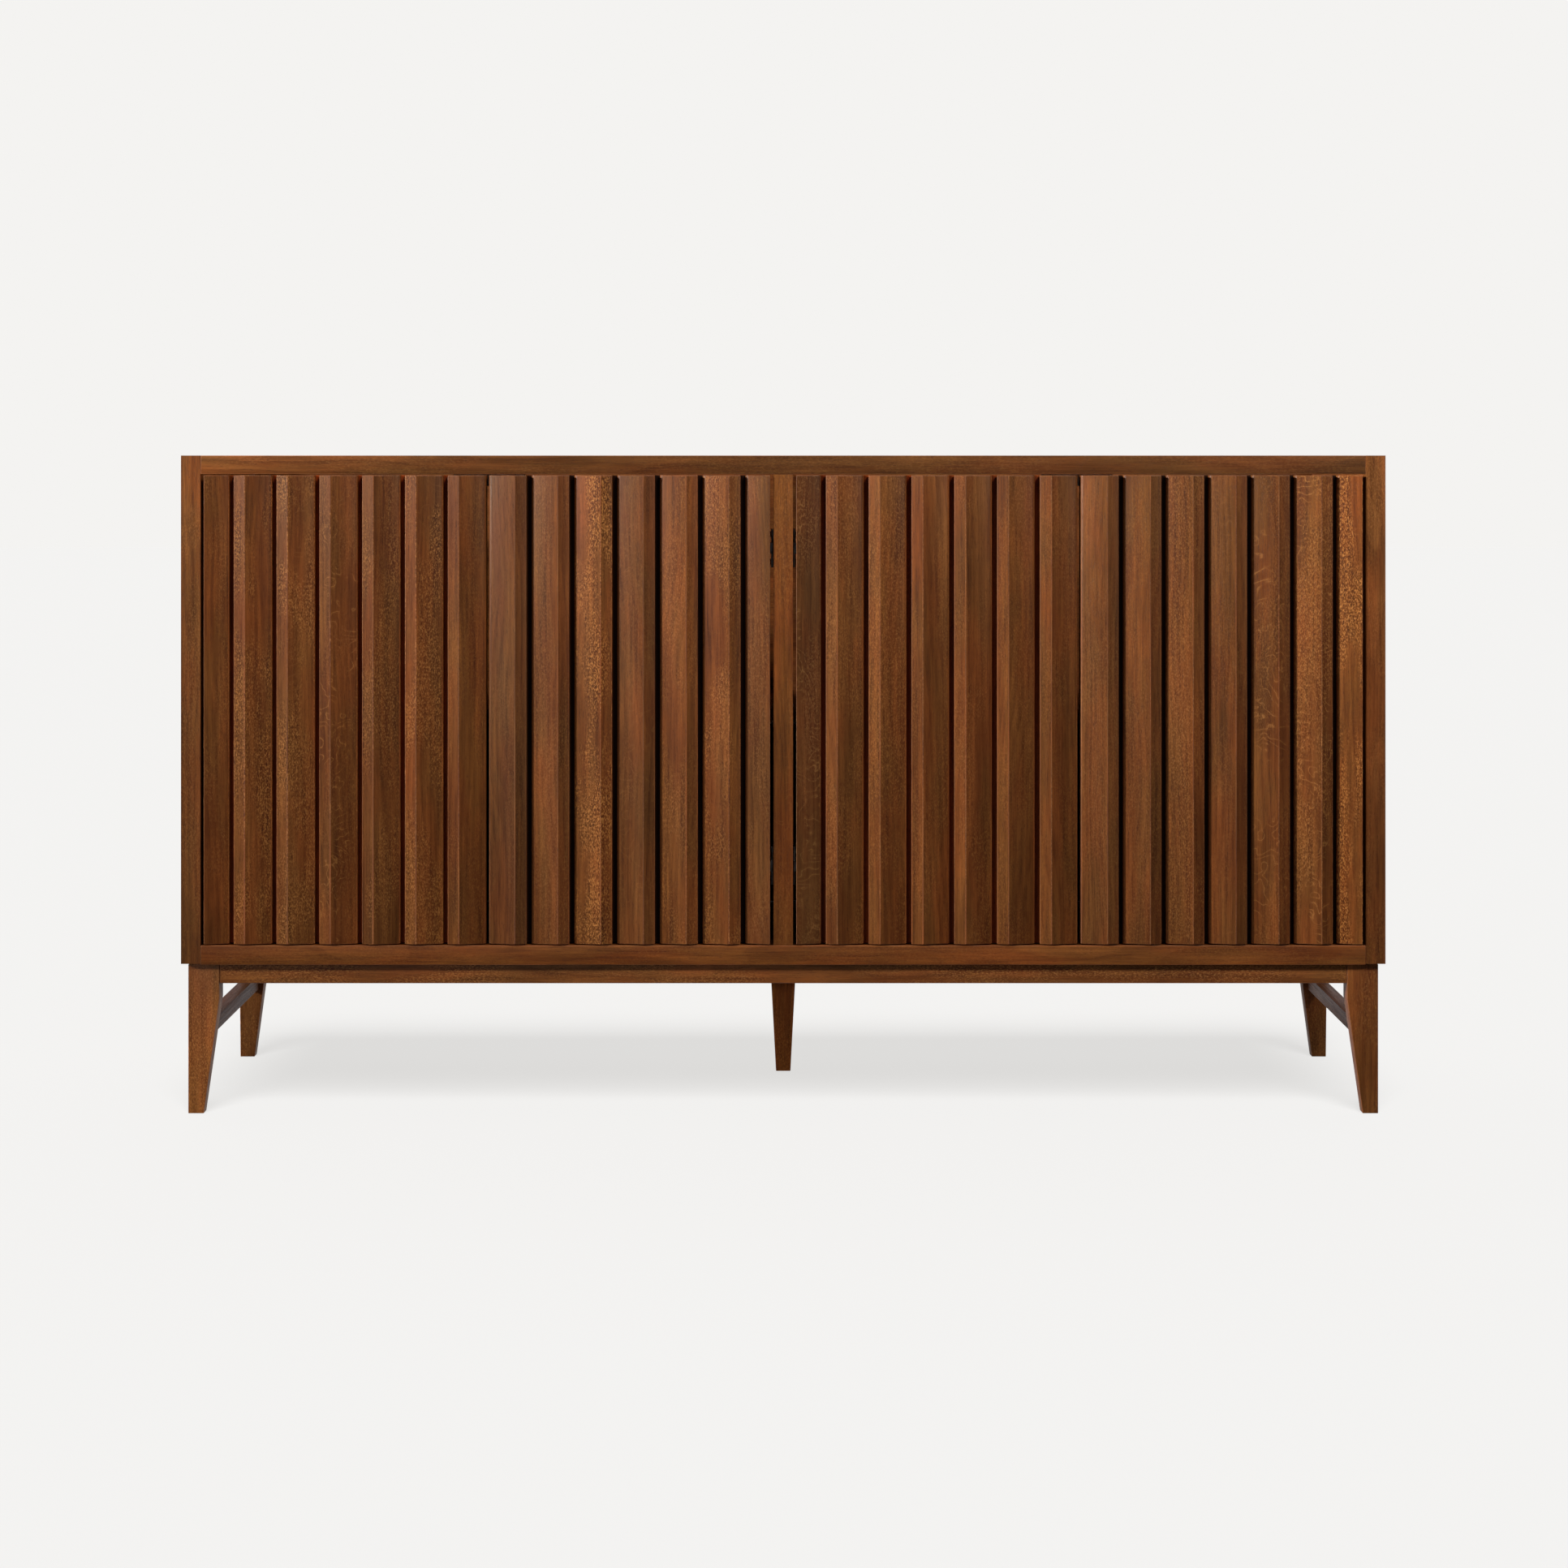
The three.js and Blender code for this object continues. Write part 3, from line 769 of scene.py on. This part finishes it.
def add_arm_screws(door, height, zinc):
    """Two adjusting screws on the arm, and two that hold its mounting plate to the wall."""
    low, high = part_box(f"hinge_arm_{door}_{height}")
    side = OPENS_TO_RIGHT[door]
    wall = (low.x if side > 0 else high.x) - side * 0.3 * MM
    z = (low.z + high.z) / 2
    out = (side, 0, 0)
    piece = Piece()
    for y in (high.y - 10 * MM, high.y - 27 * MM):
        add_screw(piece, place_at((wall + side * ARM_TOP * MM, y, z), out), radius=3.4, rise=1.0)
    for sign in (-1, 1):
        spot = (wall + side * PLATE_TOP * MM, high.y - 24 * MM, z + sign * 18 * MM)
        add_screw(piece, place_at(spot, out), radius=3.9, rise=1.3)
    piece.build(f"hinge_screws_{door}_{height}", zinc, "case")


def add_strike(door, steel):
    """The steel plate on the door that the catch's magnets hold."""
    low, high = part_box(f"door_{door}_backing")
    side = OPENS_TO_RIGHT[door]
    meeting_edge = high.x if side > 0 else low.x
    x = meeting_edge - side * 17 * MM
    place = place_at((x, high.y, high.z - 7.0 * MM), (0, 1, 0))
    piece = Piece()
    add_plate(piece, place, 13.0, 5.6, 1.6, 0.05, 1.1)
    for u in (-8.5, 8.5):
        add_screw(piece, place @ Matrix.Translation((u, 0, 1.0)), radius=2.3, rise=0.25)
    piece.build(f"strike_plate_{door}", steel, f"door_{door}")


def add_catch_details(side, magnet, zinc):
    """Magnet pole plates in the catch's front, and the screws under its two tabs."""
    low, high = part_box(f"magnetic_catch_{side}")
    middle_x, middle_z = (low.x + high.x) / 2, (low.z + high.z) / 2
    poles = Piece()
    for u in (-17, 17):
        for v in (-3.2, 3.2):
            spot = place_at((middle_x + u * MM, low.y, middle_z + v * MM), (0, -1, 0))
            add_plate(poles, spot, 11.0, 1.1, 0.4, -0.5, 0.15, chamfer=0.08)
    poles.build(f"catch_poles_{side}", magnet, "case")
    screws = Piece()
    tab_underside = high.z - 3.0 * MM
    for u in (-40, 40):
        spot = (middle_x + u * MM, (low.y + high.y) / 2, tab_underside)
        add_screw(screws, place_at(spot, (0, 0, -1), up=(0, 1, 0)), radius=3.2, rise=1.1)
    screws.build(f"catch_screws_{side}", zinc, "case")


PIN_ROWS_Y = (-0.140, 0.170)
PIN_PROFILE = (
    (1.2, -9.4), (2.3, -9.0), (2.3, -0.2), (3.4, 0.1), (3.5, 0.4), (3.5, 1.0),
    (3.1, 1.25), (2.35, 1.3), (2.35, 9.0), (2.0, 9.5), (0.8, 9.7),
)


def add_shelf_pins(side, steel):
    low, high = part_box(f"shelf_{side}")
    outer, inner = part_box(f"side_panel_{side}"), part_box("center_partition")
    left_wall = outer[1].x if side == "left" else inner[1].x
    right_wall = inner[0].x if side == "left" else outer[0].x
    height = low.z - 2.5 * MM
    piece = Piece()
    for y in PIN_ROWS_Y:
        piece.lathe(place_at((left_wall, y, height), (1, 0, 0)), PIN_PROFILE)
        piece.lathe(place_at((right_wall, y, height), (-1, 0, 0)), PIN_PROFILE)
    piece.build(f"shelf_pins_{side}", steel, "case")


def add_frame_screws(zinc):
    """Screws round the back panel, and under the aprons of the leg frame."""
    low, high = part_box("back_panel")
    back = Piece()
    inset = 12 * MM
    spots = [(low.x + inset + (high.x - low.x - 2 * inset) * i / 8, z)
             for i in range(9) for z in (low.z + inset, high.z - inset)]
    spots += [(x, low.z + (high.z - low.z) * part)
              for x in (low.x + inset, 0.0, high.x - inset) for part in (0.33, 0.67)]
    for x, z in spots:
        add_screw(back, place_at((x, high.y, z), (0, 1, 0)), radius=3.6, rise=1.4)
    back.build("back_panel_screws", zinc, "case")
    for name in ("front_apron", "back_apron"):
        low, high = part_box(name)
        under = Piece()
        for part in (0.06, 0.35, 0.65, 0.94):
            spot = (low.x + (high.x - low.x) * part, (low.y + high.y) / 2, low.z)
            add_screw(under, place_at(spot, (0, 0, -1), up=(0, 1, 0)), radius=4.0, rise=0.7)
        under.build(f"{name}_screws", zinc, "case")


def cover(name, material, rounding):
    """Gives a CAD node one material and soft edges."""
    node = NODES[name]
    node.data.materials.clear()
    node.data.materials.append(material)
    soften(node, rounding)


def add_hardware():
    steel = brushed_metal("nickel_steel", (0.62, 0.61, 0.60))
    zinc = brushed_metal("zinc_screws", (0.50, 0.49, 0.46), roughness=0.38, scratch=900.0)
    magnet = brushed_metal("magnet_poles", (0.36, 0.36, 0.37), roughness=0.34)
    plastic = moulded_plastic("catch_shell", (0.80, 0.78, 0.73))
    for door in DOORS:
        for height in HEIGHTS:
            cover(f"hinge_arm_{door}_{height}", steel, 0.5 * MM)
            add_cup(door, height, steel)
            add_link(door, height, steel)
            add_arm_screws(door, height, zinc)
        add_strike(door, steel)
    for side in ("left", "right"):
        cover(f"magnetic_catch_{side}", plastic, 0.6 * MM)
        add_catch_details(side, magnet, zinc)
        add_shelf_pins(side, steel)
    add_frame_screws(zinc)


# ---------------------------------------------------------------- assembly

add_camera()
add_world()
add_lights(add_floor())
dress_wood()
add_hardware()

scene.view_settings.view_transform = "Standard"
